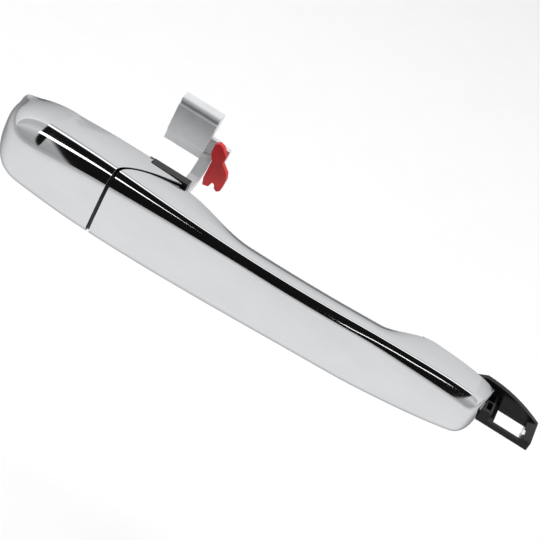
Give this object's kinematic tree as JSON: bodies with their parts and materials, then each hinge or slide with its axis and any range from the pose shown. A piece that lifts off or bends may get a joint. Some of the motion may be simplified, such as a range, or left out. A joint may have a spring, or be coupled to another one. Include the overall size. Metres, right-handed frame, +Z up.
{
  "type": "car door handle",
  "caption": "Outside pull handle for a car door: chromed grip that swings out from its front pivot, fixed end cap, latch arm behind the skin and a red retaining clip.",
  "frame": {"origin": "on the door skin, on the axis of the cap's fixing hole", "axes": "+X along the handle towards its pivot end (front of the car), +Y into the door, +Z up"},
  "size_m": [0.255, 0.0736, 0.0401],
  "materials": {
    "chrome": "mirror-bright chromed plastic",
    "black_nylon": "fine grained",
    "rubber": "matt",
    "brass": "turned",
    "screw_steel": "dark zinc plated",
    "black_gloss": "glossy moulded",
    "acetal": "natural, slightly waxy",
    "spring_steel": "bright rolled",
    "arm_zinc": "satin with light scratches",
    "red_nylon": "moulded, slightly glossy"
  },
  "bodies": {
    "root": {"cap_shell": "chrome", "cap_base": "black_nylon", "cap_gasket": "rubber", "cap_insert": "brass", "cap_shell_screws": "screw_steel", "front_gasket": "rubber"},
    "grip": {"grip_shell": "chrome", "grip_cover": "chrome", "grip_core": "black_nylon", "grip_screws": "screw_steel", "foot_buffer": "rubber", "pivot_tongue": "black_gloss", "tongue_screws": "screw_steel", "pivot_pad": "acetal", "rattle_spring": "spring_steel", "latch_arm": "arm_zinc", "arm_rivets": "arm_zinc", "clip_pin": "spring_steel", "pin_ring": "screw_steel"},
    "clip": {"red_clip": "red_nylon"}
  },
  "joints": [
    {"name": "grip_swing", "type": "hinge", "parent": "root", "child": "grip", "pos_m": [0.219, 0.008, -0.0114], "axis": [0, 0, 1], "range_deg": [0, 7], "stiffness_Nm_per_rad": 2},
    {"name": "clip_swing", "type": "hinge", "parent": "grip", "child": "clip", "pos_m": [0.0508, 0.0357, 0.009], "axis": [0, -1, 0], "range_deg": [0, 25]}
  ]
}
